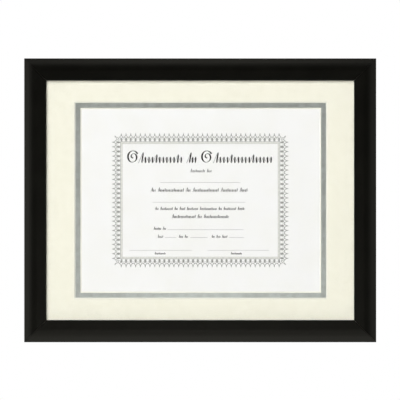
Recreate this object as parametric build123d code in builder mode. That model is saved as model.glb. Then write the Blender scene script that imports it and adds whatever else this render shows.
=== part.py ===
from build123d import *
from math import cos, radians, sin, tan
import os

os.makedirs("parts", exist_ok=True)

# Certificate frame for the wall: a mitred, rebated moulding round a glazed, double-matted
# document, with turn buttons that hold the back in. Lengths are in millimetres and angles
# in degrees. +Z is up, the face looks towards -Y, and +X is to the right of someone who
# looks at the face. The origin is the middle notch of the landscape hanger, which sits on
# the wall nail, on the back plane of the moulding.

# What the frame holds
insert_width = 355.6
insert_height = 279.4
document_width = 279.4
document_height = 215.9
document_side_overlap = 6.35
document_end_overlap = 5.8

# Layers between the lip and the back plane
glazing_thickness = 2.0
glazing_seam = 0.3
mat_thickness = 1.4
mat_bevel_angle = 45.0
accent_reveal = 5.4
window_offset = 0.6
document_thickness = 0.2
filler_thickness = 5.0
backing_thickness = 2.5
backing_edge_chamfer = 0.4

# Moulding: a flat band beside the glass, rolling off to a sloped outer edge
face_width = 25.0
rail_depth = 17.0
rebate_width = 6.75
rebate_clearance = 0.8
flat_band_width = 10.5
outer_slope_width = 5.5
outer_slope_angle = 28.0
shoulder_radius = 1.2
sight_radius = 0.8
back_edge_radius = 0.5
mitre_gap = 0.1

# V-nails across the mitres, driven in from the back
v_nail_leg = 5.0
v_nail_half_angle = 50.0
v_nail_flange = 1.0
v_nail_thickness = 0.5
v_nail_height = 7.0
v_nail_count = 2
v_nail_first = 8.0
v_nail_pitch = 8.5

# Turn buttons: teardrop plates with a lifted finger end
button_head_radius = 5.5
button_tip_radius = 3.2
button_arm = 19.0
button_thickness = 1.0
button_flat_length = 14.0
button_lift_radius = 12.0
button_lift_angle = 18.0
button_setback = 9.0
button_play = 0.05
button_bore_clearance = 0.1
long_rail_button_spacing = 190.0
short_rail_button_spacing = 140.0

# Cross-recess screws that the buttons turn on
screw_shank_radius = 1.45
screw_length = 12.0
screw_head_radius = 3.1
screw_head_height = 2.0
screw_recess_span = 3.4
screw_recess_width = 0.8
screw_recess_depth = 1.2
pilot_clearance = 0.05

# Sawtooth hangers: toothed bridges on nailed end pads
tooth_count = 9
tooth_pitch = 2.6
tooth_depth = 1.8
tooth_notch_share = 0.85
hanger_height = 8.0
hanger_thickness = 0.7
hanger_bridge_rise = 1.4
hanger_bridge_margin = 1.2
hanger_ramp_length = 2.6
hanger_pad_length = 7.4
hanger_corner_radius = 2.4
hanger_hole_clearance = 0.1

# Nails through the hanger pads
nail_shank_radius = 0.7
nail_length = 10.0
nail_head_radius = 1.7
nail_head_height = 0.6

# Soft bumpers that keep the lower edge, and the buttons, off the wall
bumper_radius = 5.0
bumper_height = 4.0
bumper_edge_chamfer = 0.8
bumper_inset = 30.0

# Every cut runs past the surface that it opens by this much
overrun = 1.0

# Places that follow from the sizes above. Depths count forwards from the back plane.
backing_depth = 0
filler_depth = backing_depth + backing_thickness
document_depth = filler_depth + filler_thickness
accent_mat_depth = document_depth + document_thickness
top_mat_depth = accent_mat_depth + mat_thickness
glazing_depth = top_mat_depth + mat_thickness
rebate_depth = glazing_depth + glazing_thickness

back_land_width = face_width - rebate_width
frame_width = insert_width + 2 * (rebate_clearance + back_land_width)
frame_height = insert_height + 2 * (rebate_clearance + back_land_width)
hanger_inset = back_land_width / 2
frame_top = hanger_inset + hanger_height / 2 - tooth_depth
centre_height = frame_top - frame_height / 2

mat_bevel_run = mat_thickness * tan(radians(mat_bevel_angle))
accent_window_width = document_width - 2 * document_side_overlap
accent_window_height = document_height - 2 * document_end_overlap
top_window_width = accent_window_width + 2 * (mat_bevel_run + accent_reveal)
top_window_height = accent_window_height + 2 * (mat_bevel_run + accent_reveal)

backwards = Vector(0, 1, 0)
forwards = -backwards
right = Vector(1, 0, 0)
up = Vector(0, 0, 1)
frame_centre = Vector(0, 0, centre_height)


def layer_plane(depth):
    """The sketch plane of a layer: X to the right, Y up, its normal towards the viewer."""
    return Plane(frame_centre + forwards * depth, x_dir=right, z_dir=forwards)


def back_plane(place, x_dir):
    """A sketch plane on the back of the moulding at place, its normal towards the wall."""
    return Plane(place, x_dir=x_dir, z_dir=backwards)


def profile_plane(place, x_dir):
    """A sketch plane square to the back at place, its Y towards the wall."""
    return Plane(place, x_dir=x_dir, z_dir=x_dir.cross(backwards))


def save(piece, name):
    """Label a finished piece and write it under its own name."""
    piece.part.label = name
    export_step(piece.part, f"parts/{name}.step")


# The back is a plain hardboard sheet with eased edges. It lies flush with the moulding.
with BuildPart() as backing_board:
    with BuildSketch(layer_plane(backing_depth)):
        Rectangle(insert_width, insert_height)
    extrude(amount=backing_thickness)
    chamfer(backing_board.faces().sort_by(Axis.Y)[-1].edges(), backing_edge_chamfer)
save(backing_board, "backing_board")

# The filler presses the document and both mats forwards against the glass.
with BuildPart() as filler_board:
    with BuildSketch(layer_plane(filler_depth)):
        Rectangle(insert_width, insert_height)
    extrude(amount=filler_thickness)
save(filler_board, "filler_board")

# The document is one landscape sheet, trapped behind the accent mat's edge.
with BuildPart() as certificate:
    with BuildSketch(layer_plane(document_depth)):
        Rectangle(document_width, document_height)
    extrude(amount=document_thickness)
save(certificate, "certificate")

# Both mats have a window whose bevel opens towards the viewer and shows the white core. The
# windows are cut a little to the right of the middle.
mats = [
    ("accent_mat", accent_mat_depth, accent_window_width, accent_window_height),
    ("top_mat", top_mat_depth, top_window_width, top_window_height),
]
for mat_name, mat_depth, window_width, window_height in mats:
    with BuildPart() as mat:
        with BuildSketch(layer_plane(mat_depth)):
            Rectangle(insert_width, insert_height)
        extrude(amount=mat_thickness)
        with BuildSketch(layer_plane(mat_depth)):
            with Locations((window_offset, 0)):
                Rectangle(window_width, window_height)
        with BuildSketch(layer_plane(mat_depth + mat_thickness)):
            with Locations((window_offset, 0)):
                Rectangle(window_width + 2 * mat_bevel_run, window_height + 2 * mat_bevel_run)
        loft(mode=Mode.SUBTRACT)
    save(mat, mat_name)

# The glazing is one sheet with seamed edges, seated against the back of the lip.
with BuildPart() as glazing:
    with BuildSketch(layer_plane(glazing_depth)):
        Rectangle(insert_width, insert_height)
    extrude(amount=glazing_thickness)
    chamfer(glazing.edges(), glazing_seam)
save(glazing, "glazing")

# Two V-nails straddle each mitre, flush with the back. Each is a folded strip with its
# apex towards the outer corner and a small flange at the end of each leg.
v_nail_reach = v_nail_leg * cos(radians(v_nail_half_angle))
v_nail_spread = v_nail_leg * sin(radians(v_nail_half_angle))
corners = [("top_left", -1, 1), ("top_right", 1, 1), ("bottom_left", -1, -1), ("bottom_right", 1, -1)]
v_nails = []
for corner_name, side, level in corners:
    corner = frame_centre + right * (side * frame_width / 2) + up * (level * frame_height / 2)
    mitre_direction = (right * -side + up * -level).normalized()
    with BuildPart() as corner_nails:
        with BuildSketch(back_plane(corner, mitre_direction)):
            for index in range(v_nail_count):
                apex = v_nail_first + index * v_nail_pitch
                with BuildLine():
                    Polyline(
                        (apex + v_nail_reach + v_nail_flange, v_nail_spread),
                        (apex + v_nail_reach, v_nail_spread),
                        (apex, 0),
                        (apex + v_nail_reach, -v_nail_spread),
                        (apex + v_nail_reach + v_nail_flange, -v_nail_spread),
                    )
                trace(line_width=v_nail_thickness)
        extrude(amount=-v_nail_height)
    save(corner_nails, f"{corner_name}_v_nails")
    v_nails.append(corner_nails.part)

# Places of the turn buttons: each has its name, its pivot on the back plane, and the
# direction in which it points when it holds the board.
pivot_from_edge = back_land_width - button_setback
pivot_x = frame_width / 2 - pivot_from_edge
pivot_z = frame_height / 2 - pivot_from_edge
long_step = long_rail_button_spacing / 2
short_step = short_rail_button_spacing / 2
button_places = [
    ("top_left", frame_centre - right * long_step + up * pivot_z, -up),
    ("top_right", frame_centre + right * long_step + up * pivot_z, -up),
    ("bottom_left", frame_centre - right * long_step - up * pivot_z, up),
    ("bottom_right", frame_centre + right * long_step - up * pivot_z, up),
    ("left_upper", frame_centre - right * pivot_x + up * short_step, right),
    ("left_lower", frame_centre - right * pivot_x - up * short_step, right),
    ("right_upper", frame_centre + right * pivot_x + up * short_step, -right),
    ("right_lower", frame_centre + right * pivot_x - up * short_step, -right),
]

# Places of the hangers: one for each way that the frame hangs, centred on its rail, with
# the direction that points up when the frame hangs by it.
hanger_places = [
    ("landscape", frame_centre + up * (frame_height / 2 - hanger_inset), up),
    ("portrait", frame_centre - right * (frame_width / 2 - hanger_inset), -right),
]
hanger_nail_offset = (
    tooth_count * tooth_pitch / 2 + hanger_bridge_margin + hanger_ramp_length + hanger_pad_length / 2
)
nail_places = [
    (name, [place + hung_up.cross(backwards) * (end * hanger_nail_offset) for end in (-1, 1)])
    for name, place, hung_up in hanger_places
]

# Each rail is the moulding's section, run the length of its side and mitred at both ends.
# Its outward direction gives the section its place: X runs inwards from the outer edge and
# Y runs forwards from the back plane. The nails and screws leave their holes in it.
shoulder_height = (
    rail_depth
    - outer_slope_width * tan(radians(outer_slope_angle))
    - (face_width - flat_band_width - outer_slope_width) * tan(radians(outer_slope_angle / 2))
)
roll_radius = (face_width - flat_band_width - outer_slope_width) / sin(radians(outer_slope_angle))
slope_direction = (cos(radians(outer_slope_angle)), sin(radians(outer_slope_angle)))
rails = [
    ("top_rail", up, right, frame_height / 2, frame_width),
    ("bottom_rail", -up, right, frame_height / 2, frame_width),
    ("left_rail", -right, up, frame_width / 2, frame_height),
    ("right_rail", right, up, frame_width / 2, frame_height),
]
for rail_name, outward, along, distance, length in rails:
    outer_edge = frame_centre + outward * distance
    with BuildPart() as rail:
        with BuildSketch(Plane(outer_edge, x_dir=-outward, z_dir=outward.cross(backwards))) as section:
            with BuildLine():
                outer_wall = Line((0, 0), (0, shoulder_height))
                slope_end = Vector(
                    outer_slope_width,
                    shoulder_height + outer_slope_width * tan(radians(outer_slope_angle)),
                )
                Line(outer_wall @ 1, slope_end)
                roll = JernArc(slope_end, slope_direction, roll_radius, -outer_slope_angle)
                Polyline(
                    roll @ 1,
                    (face_width, rail_depth),
                    (face_width, rebate_depth),
                    (back_land_width, rebate_depth),
                    (back_land_width, 0),
                    (0, 0),
                )
            make_face()
            fillet(section.vertices().group_by(Axis.X)[0].sort_by(Axis.Y)[-1], shoulder_radius)
            fillet(section.vertices().group_by(Axis.X)[0].sort_by(Axis.Y)[0], back_edge_radius)
            fillet(section.vertices().group_by(Axis.X)[-1].sort_by(Axis.Y)[-1], sight_radius)
        extrude(amount=length / 2, both=True)
        for end in (-1, 1):
            mitre = Plane(outer_edge + along * (end * length / 2), z_dir=along * end - outward)
            split(bisect_by=mitre.offset(-mitre_gap / 2), keep=Keep.BOTTOM)
        add(v_nails, mode=Mode.SUBTRACT)
        for name, pivot, inward in button_places:
            if inward == -outward:
                with Locations(back_plane(pivot, inward)):
                    Hole(screw_shank_radius + pilot_clearance, depth=screw_length)
        for name, places in nail_places:
            for place in places:
                if abs((place - outer_edge).dot(outward) + hanger_inset) < pilot_clearance:
                    with Locations(back_plane(place, right)):
                        Hole(nail_shank_radius + pilot_clearance, depth=nail_length)
    save(rail, rail_name)

# A turn button is a pressed teardrop plate: a round head on the screw and a long arm that
# lies over the board, with its end lifted for a fingertip.
screw_seat = button_thickness + 2 * button_play
for place_name, pivot, inward in button_places:
    lifted_end = button_arm + button_tip_radius - button_flat_length
    with BuildPart() as turn_button:
        with BuildSketch(back_plane(pivot, inward).offset(button_play)):
            Circle(button_head_radius)
            with Locations((button_arm, 0)):
                Circle(button_tip_radius)
            make_hull()
        extrude(amount=button_thickness + lifted_end)
        with BuildSketch(profile_plane(pivot + backwards * button_play, inward)):
            with BuildLine():
                lower_flat = Line((-button_head_radius - overrun, 0), (button_flat_length, 0))
                lower_lift = JernArc(lower_flat @ 1, (1, 0), button_lift_radius, button_lift_angle)
                lower_end = Line(lower_lift @ 1, lower_lift @ 1 + (lower_lift % 1) * lifted_end)
                upper_flat = Line(
                    (-button_head_radius - overrun, button_thickness), (button_flat_length, button_thickness)
                )
                upper_lift = JernArc(
                    upper_flat @ 1, (1, 0), button_lift_radius - button_thickness, button_lift_angle
                )
                upper_end = Line(upper_lift @ 1, upper_lift @ 1 + (upper_lift % 1) * lifted_end)
                Line(lower_flat @ 0, upper_flat @ 0)
                Line(lower_end @ 1, upper_end @ 1)
            make_face()
        extrude(amount=button_head_radius + overrun, both=True, mode=Mode.INTERSECT)
        with Locations(back_plane(pivot, inward).offset(screw_seat)):
            Hole(screw_shank_radius + button_bore_clearance)
    save(turn_button, f"{place_name}_turn_button")

    # Its screw is turned from one profile, with a cross recess in the head.
    with BuildPart() as screw:
        with BuildSketch(profile_plane(pivot + backwards * screw_seat, right)):
            with BuildLine():
                Polyline(
                    (0, -screw_length),
                    (screw_shank_radius, -screw_length),
                    (screw_shank_radius, 0),
                    (screw_head_radius, 0),
                    (screw_head_radius, screw_head_height),
                    (0, screw_head_height),
                    close=True,
                )
            make_face()
        revolve(axis=Axis(pivot, backwards))
        with BuildSketch(back_plane(pivot, right).offset(screw_seat + screw_head_height)):
            for angle in (45, 135):
                with Locations(Location((0, 0, 0), (0, 0, angle))):
                    Rectangle(screw_recess_span, screw_recess_width)
        extrude(amount=-screw_recess_depth, mode=Mode.SUBTRACT)
    save(screw, f"{place_name}_button_screw")

# A sawtooth hanger is a folded steel strip. Its end pads lie on the rail, and its raised
# bridge has notches along the lower edge, the middle one on the rail's centre line.
bridge_half = tooth_count * tooth_pitch / 2 + hanger_bridge_margin
ramp_end = bridge_half + hanger_ramp_length
strip_half = ramp_end + hanger_pad_length
for hanger_name, place, hung_up in hanger_places:
    along = hung_up.cross(backwards)
    with BuildPart() as hanger:
        with BuildSketch(profile_plane(place, along)):
            with BuildLine() as strip:
                Polyline(
                    (-strip_half, 0),
                    (-ramp_end, 0),
                    (-bridge_half, hanger_bridge_rise),
                    (bridge_half, hanger_bridge_rise),
                    (ramp_end, 0),
                    (strip_half, 0),
                )
                offset(amount=hanger_thickness, side=Side.LEFT, closed=True)
            make_face()
        extrude(amount=hanger_height / 2, both=True)
        with BuildSketch(back_plane(place, along)):
            RectangleRounded(2 * strip_half, hanger_height, hanger_corner_radius)
        extrude(amount=hanger_bridge_rise + 2 * hanger_thickness, mode=Mode.INTERSECT)
        notch_half = tooth_pitch * tooth_notch_share / 2
        with BuildSketch(back_plane(place - hung_up * (hanger_height / 2), along)):
            with GridLocations(tooth_pitch, 0, tooth_count, 1):
                Polygon(
                    (-notch_half, -overrun),
                    (notch_half, -overrun),
                    (notch_half, 0),
                    (0, tooth_depth),
                    (-notch_half, 0),
                    align=None,
                )
        extrude(amount=hanger_bridge_rise + 2 * hanger_thickness, mode=Mode.SUBTRACT)
        with Locations(back_plane(place, along).offset(hanger_thickness)):
            with GridLocations(2 * hanger_nail_offset, 0, 2, 1):
                Hole(nail_shank_radius + hanger_hole_clearance)
    save(hanger, f"{hanger_name}_hanger")

# Two flat-headed nails hold each hanger to its rail.
for hanger_name, places in nail_places:
    with BuildPart() as nails:
        for place in places:
            with BuildSketch(profile_plane(place + backwards * hanger_thickness, right)):
                with BuildLine():
                    Polyline(
                        (0, -nail_length),
                        (nail_shank_radius, -nail_length),
                        (nail_shank_radius, 0),
                        (nail_head_radius, 0),
                        (nail_head_radius, nail_head_height),
                        (0, nail_head_height),
                        close=True,
                    )
                make_face()
            revolve(axis=Axis(place, backwards))
    save(nails, f"{hanger_name}_hanger_nails")

# Round bumpers stand on the lower rail's back, thicker than anything else behind it.
for bumper_name, side in (("left", -1), ("right", 1)):
    place = (
        frame_centre
        + right * (side * (frame_width / 2 - bumper_inset))
        - up * (frame_height / 2 - back_land_width / 2)
    )
    with BuildPart() as bumper:
        with BuildSketch(back_plane(place, right)):
            Circle(bumper_radius)
        extrude(amount=bumper_height)
        chamfer(bumper.faces().sort_by(Axis.Y)[-1].edges(), bumper_edge_chamfer)
    save(bumper, f"{bumper_name}_bumper")
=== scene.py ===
import math

import bpy
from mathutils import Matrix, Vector


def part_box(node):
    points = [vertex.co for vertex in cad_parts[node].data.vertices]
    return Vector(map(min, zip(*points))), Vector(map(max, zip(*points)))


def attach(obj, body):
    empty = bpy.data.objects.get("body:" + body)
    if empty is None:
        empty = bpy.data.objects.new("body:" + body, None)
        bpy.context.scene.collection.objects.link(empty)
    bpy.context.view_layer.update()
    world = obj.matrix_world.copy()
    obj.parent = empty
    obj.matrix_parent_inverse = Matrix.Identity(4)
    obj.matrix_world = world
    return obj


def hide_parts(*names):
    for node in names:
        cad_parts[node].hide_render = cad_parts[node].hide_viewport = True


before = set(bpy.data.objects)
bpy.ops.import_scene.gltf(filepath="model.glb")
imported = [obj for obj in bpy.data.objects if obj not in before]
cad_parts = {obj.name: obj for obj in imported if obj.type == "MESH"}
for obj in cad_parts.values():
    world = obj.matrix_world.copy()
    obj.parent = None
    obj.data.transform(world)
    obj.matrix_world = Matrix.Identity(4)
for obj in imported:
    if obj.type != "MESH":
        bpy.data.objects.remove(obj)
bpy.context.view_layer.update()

# Moulding. Four lengths of soft pale wood, run to one section with a band beside the
# glass and a slope on the outer edge, and mitred at the corners. The face, the sight edge
# and the outer wall are lacquered black; the back and the rebate are left as bare wood.
mm = 0.001
frame_low, frame_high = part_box("bottom_rail")[0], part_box("top_rail")[1]
frame_centre = (frame_low + frame_high) / 2
half_width = (frame_high.x - frame_low.x) / 2
half_height = (frame_high.z - frame_low.z) / 2


def tone(red, green, blue):
    """A colour for a socket, from the red, green and blue of the finish as it is seen."""
    seen = [level / 255 for level in (red, green, blue)]
    return (*[s / 12.92 if s <= 0.04045 else ((s + 0.055) / 1.055) ** 2.4 for s in seen], 1)


class Signal:
    """An output of a node. Arithmetic on signals adds Math nodes to their tree."""

    def __init__(self, tree, socket):
        self.tree = tree
        self.socket = socket

    def other(self, output):
        return Signal(self.tree, self.socket.node.outputs[output])

    def maths(self, operation, *values):
        return self.tree.node("ShaderNodeMath", {"operation": operation}, dict(enumerate(values)))

    def __add__(self, value):
        return self.maths("ADD", self, value)

    def __radd__(self, value):
        return self.maths("ADD", value, self)

    def __sub__(self, value):
        return self.maths("SUBTRACT", self, value)

    def __rsub__(self, value):
        return self.maths("SUBTRACT", value, self)

    def __mul__(self, value):
        return self.maths("MULTIPLY", self, value)

    def __rmul__(self, value):
        return self.maths("MULTIPLY", value, self)

    def __gt__(self, value):
        return self.maths("GREATER_THAN", self, value)

    def __lt__(self, value):
        return self.maths("LESS_THAN", self, value)

    def __abs__(self):
        return self.maths("ABSOLUTE", self)

    def root(self):
        return self.maths("SQRT", self)

    def at_least(self, value):
        return self.maths("MAXIMUM", self, value)

    def at_most(self, value):
        return self.maths("MINIMUM", self, value)

    def between(self, low, high):
        """0 where the signal is below low and 1 above high, with a soft step between."""
        settings = {"interpolation_type": "SMOOTHSTEP"}
        sockets = {"Value": self, "From Min": low, "From Max": high}
        return self.tree.node("ShaderNodeMapRange", settings, sockets)


class Tree:
    """A node tree that is being built."""

    def __init__(self, tree):
        self.tree = tree
        tree.nodes.clear()

    def node(self, kind, settings=None, sockets=None, output=0):
        """Adds a node. Its settings are set first, then its sockets' values and links."""
        added = self.tree.nodes.new(kind)
        for name, value in (settings or {}).items():
            setattr(added, name, value)
        for name, value in (sockets or {}).items():
            if isinstance(value, Signal):
                self.tree.links.new(value.socket, added.inputs[name])
            else:
                added.inputs[name].default_value = value
        return Signal(self, added.outputs[output]) if len(added.outputs) else None

    def split(self, vector):
        parts = self.node("ShaderNodeSeparateXYZ", sockets={"Vector": vector})
        return parts, parts.other("Y"), parts.other("Z")

    def vector(self, x, y, z=0.0):
        return self.node("ShaderNodeCombineXYZ", sockets={0: x, 1: y, 2: z})


class Finish(Tree):
    """A procedural finish: the material, and the nodes that give it its detail."""

    def __init__(self, name):
        self.material = bpy.data.materials.new(name)
        self.material.use_nodes = True
        super().__init__(self.material.node_tree)
        self.place = self.node("ShaderNodeTexCoord", output="Object")

    def stretched(self, scale):
        return self.node("ShaderNodeMapping", sockets={"Vector": self.place, "Scale": scale})

    def noise(self, scale, detail=3.0, roughness=0.5, place=None, distortion=0.0):
        sockets = {
            "Vector": place or self.place,
            "Scale": scale,
            "Detail": detail,
            "Roughness": roughness,
            "Distortion": distortion,
        }
        return self.node("ShaderNodeTexNoise", sockets=sockets)

    def blend(self, share, first, second):
        """The first colour where share is 0 and the second where it is 1."""
        sockets = {0: share, 6: first, 7: second}
        return self.node("ShaderNodeMix", {"data_type": "RGBA"}, sockets, output=2)

    def bumps(self, height, distance, strength=1.0):
        sockets = {"Height": height, "Distance": distance, "Strength": strength}
        return self.node("ShaderNodeBump", sockets=sockets)

    def surface(self, shader=None, **sockets):
        """Ends the finish in a given shader, or in a Principled shader with these sockets."""
        if shader is None:
            named = {name.replace("_", " "): value for name, value in sockets.items()}
            shader = self.node("ShaderNodeBsdfPrincipled", sockets=named)
        self.node("ShaderNodeOutputMaterial", sockets={"Surface": shader})
        return self.material


def dress(material, *nodes):
    """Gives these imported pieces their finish."""
    for node in nodes:
        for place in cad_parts[node].material_slots:
            place.material = material


lip_depth = -(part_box("glazing")[0].y)
moulding_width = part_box("left_rail")[1].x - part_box("left_rail")[0].x
painted_share = 0.55
bare_margin = 0.3 * mm
overspray_reach = 1.9 * mm
overspray_raggedness = 3.0 * mm
lacquer_black = tone(3, 3, 2)
lacquer_worn = tone(6, 6, 4)
wood_pale = tone(222, 196, 156)
wood_dark = tone(186, 150, 106)


def moulding_finish(name, along):
    """Black lacquer on the seen faces and bare wood behind. along is the rail's direction."""
    finish = Finish(name)
    x, y, z = finish.split(finish.place)
    from_edge = (half_width - abs(x)).at_most(half_height - abs(z - frame_centre.z))
    ragged = from_edge + (finish.noise(260.0, 4.0) - 0.5) * overspray_raggedness
    face = y < -lip_depth + 0.05 * mm
    wall = (from_edge < painted_share * moulding_width) * (y < -bare_margin)
    overspray = 1 - ragged.between(bare_margin, overspray_reach)
    lacquer = face.at_least(wall).at_least(overspray)

    fibres = finish.stretched([8.0 if axis else 240.0 for axis in along])
    streaks = finish.noise(1.6, 6.0, 0.62, fibres, 0.35)
    pores = finish.noise(9.0, 2.0, 0.5, fibres).between(0.62, 0.72)
    growth = finish.stretched([2.0 if axis else 90.0 for axis in along])
    bands = finish.noise(0.55, 2.0, 0.5, growth)
    wood = finish.blend(streaks.between(0.3, 0.75), wood_pale, wood_dark)
    wood = finish.blend(pores * 0.35, wood, tone(140, 104, 68))
    wood = finish.blend(bands.between(0.45, 0.7) * 0.3, wood, tone(200, 165, 118))

    haze = finish.noise(38.0, 4.0, 0.6)
    black = finish.blend(haze.between(0.35, 0.75), lacquer_black, lacquer_worn)
    peel = finish.noise(900.0, 2.0)
    relief = (streaks * 0.6 + pores * -0.5) * (1 - lacquer * 0.82) + peel * 0.1
    return finish.surface(
        Base_Color=finish.blend(lacquer, wood, black),
        Roughness=(1 - lacquer) * 0.38 + 0.38 + haze * 0.06,
        Specular_IOR_Level=0.2,
        Specular_Tint=(1.0, 0.97, 0.84, 1.0),
        Normal=finish.bumps(relief, 0.12 * mm, 0.5),
    )


dress(moulding_finish("lacquered_wood_across", (1, 0, 0)), "top_rail", "bottom_rail")
dress(moulding_finish("lacquered_wood_upright", (0, 0, 1)), "left_rail", "right_rail")

# V-nails. Folded strips of hard steel, two across each mitre, driven in from the back
# until they are flush. The driver leaves their top edges bright and a little scuffed.
def steel_finish(name, colour, roughness, scuff):
    """Zinc-plated steel: a cloudy plating with fine rolling marks and scuffs."""
    finish = Finish(name)
    dulled, scratched = [tone(*[share * level for level in colour]) for share in (0.88, 0.62)]
    cloud = finish.noise(420.0, 4.0, 0.6)
    rolling = finish.noise(1.0, 3.0, 0.5, finish.stretched((260.0, 2600.0, 2600.0)))
    scratches = finish.noise(1.0, 5.0, 0.7, finish.stretched((5200.0, 700.0, 700.0)))
    scratches = scratches.between(0.58, 0.7)
    bright = finish.blend(cloud.between(0.3, 0.7), tone(*colour), dulled)
    bright = finish.blend(scratches * scuff, bright, scratched)
    return finish.surface(
        Base_Color=bright,
        Metallic=1.0,
        Roughness=cloud * 0.16 + rolling * 0.1 + (roughness - 0.13),
        Normal=finish.bumps(rolling + scratches * 0.4, 0.02 * mm, 0.35),
    )


dress(
    steel_finish("driven_steel", (176, 177, 180), 0.42, 0.5),
    "top_left_v_nails", "top_right_v_nails", "bottom_left_v_nails", "bottom_right_v_nails",
)

# Glazing. One sheet of 2 mm picture glass behind the lip. It mirrors by its angle, and
# what is behind it, and the light on it, come straight through. Its face has faint smears.
pane = Finish("picture_glass")
smears = pane.noise(14.0, 5.0, 0.6)
clear = pane.node("ShaderNodeBsdfTransparent", sockets={"Color": (0.99, 0.99, 0.988, 1)})
mirror = pane.node("ShaderNodeBsdfGlossy", sockets={"Roughness": smears * 0.05 + 0.01})
facing = 1 - pane.node("ShaderNodeNewGeometry", output="Backfacing")
share = pane.node("ShaderNodeFresnel", sockets={"IOR": 1.28}) * facing
dress(
    pane.surface(shader=pane.node("ShaderNodeMixShader", sockets={0: share, 1: clear, 2: mirror})),
    "glazing",
)

# Mats. Two sheets of mat board with bevelled windows: ivory in front, and a narrow reveal
# of brushed silver behind it. The knife leaves a white core on the 45 degree bevels.
board_core = tone(245, 244, 233)
core_roughness = 0.85


def mat_finish(name, face, marks, roughness, metallic, relief):
    """Faced mat board. face and marks are its paper's two colours, and the core is white."""
    finish = Finish(name)
    normal = finish.node("ShaderNodeTexCoord", output="Normal")
    facing = abs(finish.split(normal)[1]) > 0.95
    fibre = finish.noise(1500.0, 3.0, 0.6)
    cloud = finish.noise(150.0, 5.0, 0.7)
    paper = finish.blend(cloud.between(0.35, 0.68), tone(*face), tone(*marks))
    return finish.surface(
        Base_Color=finish.blend(facing, board_core, paper),
        Metallic=facing * metallic if metallic else 0.0,
        Roughness=facing * (roughness - core_roughness) + core_roughness + fibre * 0.06,
        Specular_IOR_Level=0.2,
        Normal=finish.bumps(fibre * 0.7 + cloud * 0.5, relief, 0.5),
    )


dress(
    mat_finish("ivory_mat_board", (246, 244, 228), (243, 241, 224), 0.85, 0.0, 0.05 * mm),
    "top_mat",
)
dress(
    mat_finish("silver_mat_board", (207, 212, 207), (191, 195, 189), 0.28, 0.73, 0.03 * mm),
    "accent_mat",
)

# Document. One sheet of smooth white parchment paper, letter size on its side, trapped behind
# the silver mat. Its mottle and its tooth show only at close range.
parchment = Finish("parchment_paper")
pulp = parchment.noise(700.0, 4.0, 0.6)
mottle = parchment.noise(45.0, 4.0, 0.6).between(0.3, 0.7)
dress(
    parchment.surface(
        Base_Color=parchment.blend(mottle, tone(247, 247, 246), tone(245, 245, 242)),
        Roughness=0.78 + pulp * 0.1,
        Specular_IOR_Level=0.25,
        Normal=parchment.bumps(pulp, 0.03 * mm, 0.4),
    ),
    "certificate",
)

# Printed border. A lace of spikes, lozenges and drops runs round the sheet in grey ink,
# on a pale tint band. It is printed, so the ink stands only a hair above the paper.
paper_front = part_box("certificate")[0].y
ink_thickness = 0.04 * mm


def shown(name, data):
    """A new object in the scene."""
    piece = bpy.data.objects.new(name, data)
    bpy.context.scene.collection.objects.link(piece)
    return piece


class Layout(Tree):
    """A layout in Geometry Nodes, with named inputs, that is run once to a plain mesh."""

    def __init__(self, name):
        super().__init__(bpy.data.node_groups.new(name, "GeometryNodeTree"))
        self.tree.interface.new_socket(
            "Geometry", in_out="OUTPUT", socket_type="NodeSocketGeometry"
        )
        self.entry = self.tree.nodes.new("NodeGroupInput")
        self.values = {}
        self.sources = []

    def given(self, name, value):
        """A named input of the layout, and the value that it is run with."""
        kinds = {
            int: "NodeSocketInt",
            float: "NodeSocketFloat",
            bpy.types.Object: "NodeSocketObject",
            bpy.types.Material: "NodeSocketMaterial",
        }
        item = self.tree.interface.new_socket(name, in_out="INPUT", socket_type=kinds[type(value)])
        self.values[item.identifier] = value
        signal = Signal(self, self.entry.outputs[name])
        if isinstance(value, bpy.types.Object):
            self.sources.append(value)
            sockets = {"Object": signal}
            signal = self.node("GeometryNodeObjectInfo", sockets=sockets, output="Geometry")
        return signal

    def joined(self, *parts):
        join = self.tree.nodes.new("GeometryNodeJoinGeometry")
        for part in parts:
            self.tree.links.new(part.socket, join.inputs[0])
        return Signal(self, join.outputs[0])

    def run(self, name, geometry, material):
        """Realizes the layout as the mesh of one named piece, and drops what it was made from."""
        realized = self.node("GeometryNodeRealizeInstances", sockets={"Geometry": geometry})
        sockets = {"Geometry": realized, "Material": self.given("Finish", material)}
        finished = self.node("GeometryNodeSetMaterial", sockets=sockets)
        self.node("NodeGroupOutput", sockets={0: finished})
        carrier = shown(name + "_layout", bpy.data.meshes.new(name + "_layout"))
        modifier = carrier.modifiers.new(name, "NODES")
        modifier.node_group = self.tree
        for identifier, value in self.values.items():
            modifier[identifier] = value
        graph = bpy.context.evaluated_depsgraph_get()
        mesh = bpy.data.meshes.new_from_object(carrier.evaluated_get(graph), depsgraph=graph)
        for source in (carrier, *self.sources):
            bpy.data.objects.remove(source)
        return shown(name, mesh)


def pen(name):
    """An empty set of pen strokes, drawn on the page: X to the right and Y up."""
    return shown(name, bpy.data.curves.new(name, "CURVE"))


def stroke(strokes, points, widths, closed=False):
    """Adds a line through points in mm, as wide as widths says at each of them."""
    line = strokes.data.splines.new("POLY")
    line.points.add(len(points) - 1)
    line.use_cyclic_u = closed
    for knot, (x, y), width in zip(line.points, points, widths):
        knot.co = (x * mm, y * mm, 0, 1)
        knot.radius = width * mm


def inked(layout, strokes):
    """The strokes as solid ribbons, one unit thick for each unit of width."""
    profile = layout.node("GeometryNodeCurvePrimitiveQuadrilateral", sockets={0: 1.0, 1: 1.0})
    width = layout.node("GeometryNodeInputRadius")
    sockets = {"Curve": strokes, "Profile Curve": profile, "Scale": width, "Fill Caps": True}
    return layout.node("GeometryNodeCurveToMesh", sockets=sockets)


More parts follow.
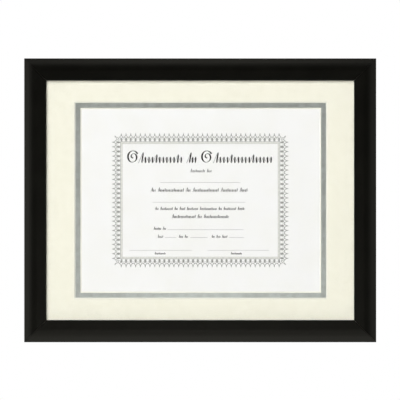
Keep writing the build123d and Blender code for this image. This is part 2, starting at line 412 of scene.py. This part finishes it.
def printed(layout, ribbons):
    """Lays the page's ribbons on the paper, all of them as thick as ink."""
    ribbons = layout.node("GeometryNodeRealizeInstances", sockets={"Geometry": ribbons})
    x, y, z = layout.split(layout.node("GeometryNodeInputPosition"))
    front = paper_front + 0.5 * ink_thickness - (z > 0) * (1.5 * ink_thickness)
    place = layout.vector(x, front, y + frame_centre.z)
    return layout.node("GeometryNodeSetPosition", sockets={"Geometry": ribbons, "Position": place})


def ink_finish(name, colour):
    """Printer's ink: it takes the paper's tooth, and its cover varies a little."""
    finish = Finish(name)
    cover = finish.noise(600.0, 4.0, 0.6)
    lighter = [min(255, level + 14) for level in colour]
    return finish.surface(
        Base_Color=finish.blend(cover.between(0.3, 0.75), tone(*colour), tone(*lighter)),
        Roughness=0.55 + cover * 0.2,
        Specular_IOR_Level=0.1,
        Normal=finish.bumps(cover, 0.02 * mm, 0.4),
    )


border_half_width = 86.9
border_half_height = 63.2
spikes_across = 34
spikes_down = 26
spikes_across_reach = 88.4
spikes_down_reach = 65.05
spike_pitch = 2 * spikes_across_reach / (spikes_across - 1)

spike = pen("border_spike")
half_pitch = spike_pitch / 2
stroke(spike, [(0, 12.1), (0, 10.8), (0, 9.6), (0, 8.9)], [0.2, 0.9, 1.3, 0.9])
stroke(spike, [(0, 9.6), (1.9, 7.7), (0, 5.9), (-1.9, 7.7)], [0.6, 0.95, 0.8, 0.95], closed=True)
stroke(spike, [(-half_pitch, 7.2), (-1.9, 7.7)], [0.6, 0.7])
stroke(spike, [(1.9, 7.7), (half_pitch, 7.2)], [0.7, 0.6])
stroke(spike, [(0, 6.4), (0, 5.7), (0, 4.6), (0, 3.6), (0, 2.5)], [0.9, 2.2, 1.9, 1.3, 0.8])
drop = pen("border_drop")
drop_outline = [(0, 6.4), (0.9, 5.4), (1.5, 4.4), (1.8, 3.5), (1.5, 2.7), (0, 2.3)]
drop_outline += [(-x, y) for x, y in drop_outline[-2:0:-1]]
stroke(drop, drop_outline, [0.3] * len(drop_outline), closed=True)
bud = pen("border_bud")
stroke(bud, [(0, 12.8), (0, 11.6), (0, 10.4)], [0.3, 1.2, 0.8])
stroke(bud, [(0, 10.6), (1.2, 7.9), (0, 5.2), (-1.2, 7.9)], [0.6, 0.9, 0.7, 0.9], closed=True)
edging = pen("border_edging")
edging_gap = 2.3
reach, rise = border_half_width + edging_gap, border_half_height + edging_gap
edging_corners = [(-reach, -rise), (reach, -rise), (reach, rise), (-reach, rise)]
stroke(edging, edging_corners, [0.5] * 4, closed=True)
bead = pen("border_bead")
stroke(bead, [(-0.3, 0.4), (0.3, 0.4)], [0.4, 0.4])

lace = Layout("border_lace")
across = lace.given("Spikes across", spikes_across)
down = lace.given("Spikes down", spikes_down)
spike = inked(lace, lace.given("Spike", spike))
drop = inked(lace, lace.given("Drop", drop))
bud = inked(lace, lace.given("Bud", bud))
bead = inked(lace, lace.given("Bead", bead))
edging = inked(lace, lace.given("Edging", edging))
width = lace.given("Half width", border_half_width * mm)
height = lace.given("Half height", border_half_height * mm)
across_reach = lace.given("Reach across", spikes_across_reach * mm)
down_reach = lace.given("Reach down", spikes_down_reach * mm)


def lace_row(count, reach, rise, shape, turn):
    """One shape repeated along a side, which is turned to its place round the page."""
    ends = {"Start": lace.vector(0 - reach, rise), "End": lace.vector(reach, rise)}
    line = lace.node("GeometryNodeCurvePrimitiveLine", sockets=ends)
    points = lace.node("GeometryNodeResampleCurve", sockets={"Curve": line, "Count": count})
    row = lace.node("GeometryNodeInstanceOnPoints", sockets={"Points": points, "Instance": shape})
    turned = {"Geometry": row, "Rotation": (0, 0, turn)}
    return lace.node("GeometryNodeTransform", sockets=turned)


rows = [edging]
for turn, count, reach, rise in (
    (0, across, across_reach, height),
    (90, down, down_reach, width),
    (180, across, across_reach, height),
    (270, down, down_reach, width),
):
    turn = math.radians(turn)
    rows.append(lace_row(count, reach, rise, spike, turn))
    gap = lace.node("ShaderNodeMath", {"operation": "DIVIDE"}, {0: reach, 1: count - 1})
    rows.append(lace_row(count - 1, reach - gap, rise, drop, turn))
    rows.append(lace_row(count * 4 - 3, reach - gap * 0.5, rise, bead, turn))
for side, level, turn in ((1, 1, -45), (-1, 1, 45), (-1, -1, 135), (1, -1, 225)):
    corner = lace.vector(width * side, height * level)
    sockets = {"Geometry": bud, "Translation": corner, "Rotation": (0, 0, math.radians(turn))}
    rows.append(lace.node("GeometryNodeTransform", sockets=sockets))
border_ink = ink_finish("border_ink", (157, 158, 153))
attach(lace.run("printed_border", printed(lace, lace.joined(*rows)), border_ink), "frame")

tint_width = 2.0
tint = bpy.data.meshes.new("printed_border_tint")
corners = [
    (side * (border_half_width + grow) * mm, level * (border_half_height + grow) * mm)
    for grow in (0, tint_width)
    for side, level in ((-1, -1), (1, -1), (1, 1), (-1, 1))
]
tint_depths = (paper_front - 0.4 * ink_thickness, paper_front + 0.5 * ink_thickness)
tint_points = [(x, depth, y + frame_centre.z) for depth in tint_depths for x, y in corners]
# For each side of the page: the band's front, rear, inner edge and outer edge.
tint_faces = []
for side in range(4):
    after = (side + 1) % 4
    tint_faces.append((side, after, 4 + after, 4 + side)[::-1])
    tint_faces.append((8 + side, 8 + after, 12 + after, 12 + side))
    tint_faces.append((side, after, 8 + after, 8 + side))
    tint_faces.append((4 + side, 4 + after, 12 + after, 12 + side)[::-1])
tint.from_pydata(tint_points, [], tint_faces)
tint.materials.append(ink_finish("border_tint", (220, 220, 214)))
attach(shown("printed_border_tint", tint), "frame")

# Pen work. The title and the lines of the sheet are ornament: scrolls, leaning waves and
# ruled lines, drawn in near-black ink with a broad nib that swells on the downstrokes.
def scroll(strokes, x, y, radius, weight):
    """A line over the top and round the far side, that winds inwards to a dot."""
    points, widths = [], []
    turns, outer_turn, steps = 1.62, 0.6, 44
    first_angle, slimness, winding = 0.08, 0.86, 0.8
    for step in range(steps + 1):
        passed = step / steps
        angle = 2 * math.pi * (first_angle + passed * turns)
        curl = max(0.0, (passed * turns - outer_turn) / (turns - outer_turn))
        reach = radius * (1 - winding * curl**0.85)
        points.append((x + slimness * reach * math.cos(angle), y + reach * math.sin(angle)))
        widths.append(weight * (0.25 + 0.75 * abs(math.cos(angle)) ** 1.4) * (1 - 0.4 * passed))
    stroke(strokes, points, widths)
    x, y = points[-1]
    dot = [(x - 0.4 * weight, y), (x, y), (x + 0.4 * weight, y)]
    stroke(strokes, dot, [0.1, 0.8 * weight, 0.1])


def waves(strokes, start, end, low, height, weight, groups):
    """Leaning waves between start and end, in groups that are each led by a taller one."""
    gap, lean, steps = 1.5, 0.3, 8
    leading, taller = 1.75, 1.4
    pitch = (end - start) / (sum(groups) + gap * (len(groups) - 1))
    for count in groups:
        points, widths = [], []
        for step in range(count * steps + 1):
            turn = 2 * math.pi * step / steps
            index = step // steps
            tall = leading if index == 0 else taller if index % 6 == 4 else 1.0
            rise = height * tall * (0.5 - 0.5 * math.cos(turn))
            points.append((start + pitch * step / steps + lean * rise, low + rise))
            widths.append(weight * (0.22 + 0.78 * max(0.0, -math.sin(turn))))
        stroke(strokes, points, widths)
        start += pitch * (count + gap)


penwork = pen("penwork")
for x in (-75.2, 7.6):
    scroll(penwork, x, 48.8, 6.6, 2.2)
# Each row of waves: start, end, base line, height, nib width and the waves in each group.
for start, end, low, height, weight, groups in (
    (-69.4, -21.3, 41.7, 7.0, 1.7, (12,)),
    (-15.4, -5.4, 41.7, 7.0, 1.7, (3,)),
    (14.4, 79.4, 41.7, 7.0, 1.7, (16,)),
    (-11.6, 12.2, 31.2, 2.5, 0.62, (12, 4)),
    (-55.6, 52.2, 9.4, 2.9, 0.85, (3, 17, 3, 17, 11, 5)),
    (-51.0, 49.0, -11.0, 2.3, 0.7, (3, 11, 3, 5, 10, 15, 3, 11, 6)),
    (-32.1, 31.2, -20.1, 2.7, 0.82, (17, 3, 18)),
    (-52.6, -38.8, -33.2, 2.2, 0.66, (7, 3)),
    (-48.2, -42.0, -42.2, 2.2, 0.6, (5,)),
    (-24.4, -14.4, -42.2, 2.2, 0.6, (4, 3)),
    (12.2, 29.8, -42.2, 2.2, 0.6, (3, 4, 5)),
    (-51.4, -39.2, -60.8, 1.8, 0.6, (12,)),
    (34.0, 46.2, -60.8, 1.8, 0.6, (12,)),
):
    waves(penwork, start, end, low, height, weight, groups)
for start, end, y in (
    (-45.2, 44.8, 20.0),
    (-53.3, 50.5, -2.2),
    (-36.6, 48.8, -32.9),
    (-39.5, -26.9, -41.6),
    (-10.9, 8.3, -41.6),
    (32.8, 48.8, -41.6),
    (-79.3, -9.4, -56.0),
    (8.3, 77.2, -56.0),
):
    stroke(penwork, [(start, y), (end, y)], [0.2, 0.2])

black_ink = ink_finish("black_ink", (24, 22, 18))
writing = Layout("pen_strokes")
ribbons = inked(writing, writing.given("Strokes", penwork))
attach(writing.run("printed_penwork", printed(writing, ribbons), black_ink), "frame")

# Filler board. Plain grey-brown card, cut to the sheet size. It is shut in between the
# document and the back, and only its edges could ever be seen.
card = Finish("filler_card")
flecks = card.noise(900.0, 5.0, 0.7)
dress(
    card.surface(
        Base_Color=card.blend(flecks.between(0.35, 0.7), tone(196, 184, 162), tone(168, 154, 130)),
        Roughness=0.85 + flecks * 0.1,
        Normal=card.bumps(flecks, 0.05 * mm, 0.5),
    ),
    "filler_board",
)

# Backing board. Brown hardboard, pressed from wood fibre, with its smooth side out. The
# fibres show as fine flecks, and the sawn and eased edges are lighter and rougher.
hardboard = Finish("pressed_hardboard")
normal = hardboard.node("ShaderNodeTexCoord", output="Normal")
sawn = 1 - hardboard.split(normal)[1].between(0.75, 0.98)
cloud = hardboard.noise(26.0, 5.0, 0.62)
fibre = hardboard.noise(1.0, 6.0, 0.7, hardboard.stretched((900.0, 900.0, 1500.0)), 0.8)
flecks = hardboard.noise(1.0, 4.0, 0.6, hardboard.stretched((1600.0, 1600.0, 500.0)), 1.5)
flecks = flecks.between(0.6, 0.74)
brown = hardboard.blend(cloud.between(0.3, 0.72), tone(132, 96, 64), tone(118, 84, 54))
brown = hardboard.blend(fibre.between(0.4, 0.75) * 0.55, brown, tone(92, 62, 39))
brown = hardboard.blend(flecks * 0.6, brown, tone(172, 134, 94))
dress(
    hardboard.surface(
        Base_Color=hardboard.blend(sawn * 0.6, brown, tone(166, 128, 90)),
        Roughness=0.5 + fibre * 0.16 + sawn * 0.25,
        Specular_IOR_Level=0.35,
        Normal=hardboard.bumps(fibre * 0.5 + flecks * 0.5 + cloud * 0.3, 0.06 * mm, 0.6),
    ),
    "backing_board",
)

# Turn buttons. Teardrop plates, pressed from steel strip and zinc-plated, with one end
# lifted for a fingertip. Each one turns on a screw and holds the back in.
button_places = (
    "top_left", "top_right", "bottom_left", "bottom_right",
    "left_upper", "left_lower", "right_upper", "right_lower",
)
plated = steel_finish("zinc_plate", (206, 208, 210), 0.34, 0.25)
dress(plated, *[f"{place}_turn_button" for place in button_places])

# Button screws. Pan-head wood screws with a cross recess, rolled from steel wire and
# zinc-plated. They stop at different turns, so no two of the crosses lie the same way.
screw_head_radius = 3.1 * mm
screw_head_height = 2.0 * mm
screw_rim = 0.7 * mm
screw_length = 12.0 * mm
thread_radius = 1.45 * mm
thread_core = 1.0 * mm
thread_pitch = 1.2 * mm
rings_per_turn = 6
plain_neck = 0.4 * mm
screw_point = 3.0 * mm
point_bluntness = 0.08
cross_span = 3.4 * mm
cross_width = 0.8 * mm
cross_depth = 1.2 * mm


def turned(name, rings, segments, radius_at=None):
    """A closed solid of revolution about Z, from rings of (radius, height), lowest first."""
    points = [(0, 0, rings[0][1])]
    for radius, height in rings:
        for segment in range(segments):
            angle = 2 * math.pi * segment / segments
            reach = radius_at(radius, height, angle) if radius_at else radius
            points.append((reach * math.cos(angle), reach * math.sin(angle), height))
    points.append((0, 0, rings[-1][1]))
    faces = []
    for segment in range(segments):
        after = (segment + 1) % segments
        faces.append((0, 1 + after, 1 + segment))
        for ring in range(len(rings) - 1):
            low, high = 1 + ring * segments, 1 + (ring + 1) * segments
            faces.append((low + segment, low + after, high + after, high + segment))
        last = 1 + (len(rings) - 1) * segments
        faces.append((last + segment, last + after, len(points) - 1))
    mesh = bpy.data.meshes.new(name)
    mesh.from_pydata(points, [], faces)
    return shown(name, mesh)


def domed(radius, low, high, steps):
    """Rings that round off from radius at low to the axis at high, as an ellipse does."""
    rings = []
    for step in range(steps + 1):
        angle = math.pi / 2 * step / steps
        reach = max(radius * math.cos(angle), 0.02 * mm)
        rings.append((reach, low + (high - low) * math.sin(angle)))
    return rings


def softened(piece, degrees):
    """Smooths the piece's faces, apart from edges that turn by more than degrees."""
    for face in piece.data.polygons:
        face.use_smooth = True
    piece.data.set_sharp_from_angle(angle=math.radians(degrees))
    return piece


def threaded(radius, height, angle):
    """The shank's radius where a thread winds round it."""
    if radius > thread_radius + 0.01 * mm or height > -plain_neck:
        return radius
    crest = 1 - abs(2 * ((height / thread_pitch - angle / (2 * math.pi)) % 1) - 1)
    return radius * (thread_core + (thread_radius - thread_core) * crest) / thread_radius


shank = []
for step in range(int(rings_per_turn * screw_length / thread_pitch)):
    from_tip = step * thread_pitch / rings_per_turn
    reach = thread_radius * min(1, point_bluntness + from_tip / screw_point)
    shank.append((reach, from_tip - screw_length))
head = [(thread_radius, 0.0), (screw_head_radius, 0.0)]
head += domed(screw_head_radius, screw_rim, screw_head_height, 7)
blank = turned("screw_blank", shank + head, 24, threaded)
cross = pen("screw_cross")
half = cross_span / 2 / mm
for angle in (0, math.pi / 2):
    x, y = half * math.cos(angle), half * math.sin(angle)
    stroke(cross, [(-x, -y), (x, y)], [cross_width / mm] * 2)


def mounted(layout, shape, places, turn):
    """The shape at each place, with its axis pointing back from the frame."""
    rotation = layout.vector(-math.pi / 2, turn)
    sockets = {"Points": places, "Instance": shape, "Rotation": rotation}
    return layout.node("GeometryNodeInstanceOnPoints", sockets=sockets)


def places_of(name, nodes, depth):
    """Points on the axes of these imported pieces, at this depth below their tops."""
    mesh = bpy.data.meshes.new(name)
    points = []
    for node in nodes:
        low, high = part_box(node)
        points.append(((low.x + high.x) / 2, high.y - depth, (low.z + high.z) / 2))
    mesh.from_pydata(points, [], [])
    return shown(name, mesh)


screws = Layout("button_screw_set")
blank = screws.given("Blank", blank)
x, y, z = screws.split(screws.node("GeometryNodeInputPosition"))
floor_height = screws.given("Recess floor", screw_head_height - cross_depth)
taper = screws.given("Recess taper", 0.72)
up = z > 0
narrow = up + (1 - up) * taper
ends = up * (2 * screw_head_height) + (1 - up) * floor_height
punch = screws.node(
    "GeometryNodeSetPosition",
    sockets={
        "Geometry": inked(screws, screws.given("Cross", cross)),
        "Position": screws.vector(x * narrow, y * narrow, ends),
    },
)
recessed = screws.node(
    "GeometryNodeMeshBoolean", {"operation": "DIFFERENCE", "solver": "EXACT"},
    {"Mesh 1": blank, "Mesh 2": punch, "Self Intersection": True},
)
spin = screws.node(
    "FunctionNodeRandomValue", {"data_type": "FLOAT"},
    {2: 0.0, 3: math.pi, "Seed": 7}, output=1,
)
seats = places_of(
    "screw_seats", [f"{place}_button_screw" for place in button_places], screw_head_height
)
placed = mounted(screws, recessed, screws.given("Seats", seats), spin)
button_screws = softened(screws.run("button_screws", placed, plated), 35)
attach(button_screws, "frame")
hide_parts(*[f"{place}_button_screw" for place in button_places])

# Sawtooth hangers. Strips of zinc-plated steel with a toothed lower edge, folded up in
# the middle, so that the nail in the wall can reach behind the teeth.
hanger_steel = steel_finish("hanger_steel", (214, 208, 190), 0.3, 0.3)
dress(hanger_steel, "landscape_hanger", "portrait_hanger")

# Hanger nails. Short steel nails with low domed heads, two through each hanger's pads, driven
# into pilot holes in the back of the rails.
nail_shank_radius = 0.7 * mm
nail_head_radius = 1.7 * mm
nail_head_height = 0.6 * mm
nail_head_rim = 0.2 * mm
nail_length = 10.0 * mm
nail_point = 1.6 * mm
nail_profile = [(0.1 * mm, -nail_length), (nail_shank_radius, nail_point - nail_length)]
nail_profile += [(nail_shank_radius, 0.0), (nail_head_radius, 0.0)]
nail_profile += domed(nail_head_radius, nail_head_rim, nail_head_height, 6)
nails = Layout("hanger_nail_set")
nail = nails.given("Nail", turned("nail_blank", nail_profile, 20))
pads = bpy.data.meshes.new("nail_pads")
pad_points = []
for node in ("landscape_hanger_nails", "portrait_hanger_nails"):
    low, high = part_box(node)
    seat = high.y - nail_head_height
    inner_low = low + Vector((nail_head_radius, 0, nail_head_radius))
    inner_high = high - Vector((nail_head_radius, 0, nail_head_radius))
    pad_points += [(inner_low.x, seat, inner_low.z), (inner_high.x, seat, inner_high.z)]
pads.from_pydata(pad_points, [], [])
placed = mounted(nails, nail, nails.given("Pads", shown("nail_pads", pads)), 0.0)
hanger_nails = softened(nails.run("hanger_nails", placed, plated), 40)
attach(hanger_nails, "frame")
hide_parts("landscape_hanger_nails", "portrait_hanger_nails")

# Bumpers. Soft round rubber feet, stuck on the lower rail's back. They are moulded with a
# rounded edge and a slightly crowned top, and hold the frame and its buttons off the wall.
bumper_radius = 5.0 * mm
bumper_height = 4.0 * mm
edge_radius = 1.6 * mm
edge_centre_reach, edge_centre_height = 3.4 * mm, 1.9 * mm
crown_radius, crown_foot = 3.6 * mm, 3.62 * mm
bumper_profile = [(bumper_radius, 0.0), (bumper_radius, 0.5 * mm)]
for degrees in range(10, 80, 10):
    angle = math.radians(degrees)
    reach = edge_centre_reach + edge_radius * math.cos(angle)
    bumper_profile.append((reach, edge_centre_height + edge_radius * math.sin(angle)))
bumper_profile += domed(crown_radius, crown_foot, bumper_height, 5)[1:]
rubber = Finish("moulded_rubber")
grain = rubber.noise(1400.0, 3.0, 0.6)
dust = rubber.noise(300.0, 5.0, 0.7).between(0.55, 0.75)
rubber_finish = rubber.surface(
    Base_Color=rubber.blend(dust * 0.25, tone(38, 38, 39), tone(92, 90, 86)),
    Roughness=0.6 + grain * 0.15,
    Specular_IOR_Level=0.4,
    Normal=rubber.bumps(grain, 0.05 * mm, 0.5),
)
feet = Layout("bumper_set")
foot = feet.given("Bumper", turned("bumper_blank", bumper_profile, 40))
bumper_nodes = ("left_bumper", "right_bumper")
places = feet.given("Places", places_of("bumper_places", bumper_nodes, bumper_height))
placed = mounted(feet, foot, places, 0.0)
bumpers = softened(feet.run("rear_bumpers", placed, rubber_finish), 40)
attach(bumpers, "frame")
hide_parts(*bumper_nodes)

# Studio. A long lens straight in front, and a pale surround that is dim behind the camera,
# so that the lacquer stays black. One soft bank lights the matt faces from the upper left, and
# soft boxes round the frame light its gloss. The floor is well below, because the frame hangs.
lens = 200.0
sensor = 36.0
picture_width = 447.4 * mm
focus_plane = 11.0 * mm
aim_right, aim_up = -0.22 * mm, 0.33 * mm
camera_data = bpy.data.cameras.new("camera")
camera_data.lens = lens
camera_data.sensor_width = sensor
camera_data.clip_start = 0.1
camera_data.clip_end = 60.0
camera = shown("camera", camera_data)
camera_distance = focus_plane + picture_width * lens / sensor
camera.location = (aim_right, -camera_distance, frame_centre.z + aim_up)
camera.rotation_euler = (math.radians(90), 0, 0)
bpy.context.scene.camera = camera

surround = bpy.data.worlds.new("white_surround")
surround.use_nodes = True
bpy.context.scene.world = surround
side_glow = 0.22
fill_glow = 0.05
rear_glow = 0.75
left_share = 0.2
low_share = 0.12
sky = Tree(surround.node_tree)
towards = sky.node("ShaderNodeTexCoord", output="Generated")
x, y, z = sky.split(towards)
rays = sky.node("ShaderNodeLightPath", output="Is Camera Ray")
glossy = rays.other("Is Glossy Ray")
mirrored_behind = glossy * y.at_least(0)
seen = rays.at_least(rays.other("Is Transmission Ray")).at_least(mirrored_behind)
from_axis = (1 - y * y).at_least(0).root()
glow = from_axis - x * left_share - z * low_share
tent = glow * (glossy * (side_glow - fill_glow) + fill_glow) + y.at_least(0) * rear_glow
light = sky.node(
    "ShaderNodeBackground",
    sockets={"Color": (1, 1, 1, 1), "Strength": seen + (1 - seen) * tent},
)
sky.node("ShaderNodeOutputWorld", sockets={"Surface": light})


def soft_box(name, off_axis, clock, distance, across, level, beam=180, glossy=True, matt=True):
    """A square lamp off_axis degrees from straight in front, at a clock angle from the top.

    beam is the angle that its light spreads over. glossy and matt say which finishes it lights.
    """
    data = bpy.data.lights.new(name, "AREA")
    data.shape = "SQUARE"
    data.size = across
    data.energy = level * math.pi * across**2
    data.spread = math.radians(beam)
    lamp = shown(name, data)
    lamp.visible_glossy = glossy
    lamp.visible_diffuse = matt
    tilt, round_axis = math.radians(off_axis), math.radians(clock)
    away = Vector((
        math.sin(tilt) * math.sin(round_axis),
        -math.cos(tilt),
        math.sin(tilt) * math.cos(round_axis),
    ))
    lamp.location = frame_centre + away * distance
    lamp.rotation_mode = "QUATERNION"
    lamp.rotation_quaternion = away.to_track_quat("Z", "Y")


soft_box("front_bank", 15, -35, 3.4, 2.1, 3.5, beam=110, glossy=False)
soft_box("left_lamp", 72, -90, 1.5, 0.6, 3.0, matt=False)
soft_box("right_lamp", 72, 90, 1.5, 0.6, 1.8, matt=False)
soft_box("top_lamp", 72, 0, 1.5, 0.6, 3.0, matt=False)
soft_box("bottom_lamp", 66, 180, 1.5, 0.8, 1.2, matt=False)
soft_box("low_front_lamp", 20, 180, 2.0, 0.4, 3.3, matt=False)
soft_box("low_near_lamp", 10, 180, 2.0, 0.15, 12.8, matt=False)
soft_box("rear_lamp", 145, 40, 2.0, 1.4, 2.0)

floor_drop = 1.5
floor_half = 5.0
floor_paleness = 0.86
floor_level = frame_low.z - floor_drop
floor_corners = [
    (side * floor_half, depth * floor_half, floor_level)
    for side, depth in ((-1, -1), (1, -1), (1, 1), (-1, 1))
]
floor_mesh = bpy.data.meshes.new("floor")
floor_mesh.from_pydata(floor_corners, [], [(0, 1, 2, 3)])
floor_finish = Finish("pale_floor")
scuffs = floor_finish.noise(3.0, 4.0)
floor_colour = floor_finish.blend(scuffs, tone(248, 248, 247), tone(244, 244, 243))
sockets = {"Base Color": floor_colour, "Roughness": 0.9, "Specular IOR Level": 0.1}
lit = floor_finish.node("ShaderNodeBsdfPrincipled", sockets=sockets)
pale = floor_finish.node("ShaderNodeEmission", sockets={"Color": floor_colour, "Strength": 1.0})
rays = floor_finish.node("ShaderNodeLightPath", output="Is Camera Ray")
seen = rays.at_least(rays.other("Is Glossy Ray")).at_least(rays.other("Is Transmission Ray"))
sockets = {0: seen * floor_paleness, 1: lit, 2: pale}
floor_mesh.materials.append(
    floor_finish.surface(shader=floor_finish.node("ShaderNodeMixShader", sockets=sockets))
)
shown("floor", floor_mesh)

bpy.context.scene.view_settings.view_transform = "Standard"

bpy.context.view_layer.update()
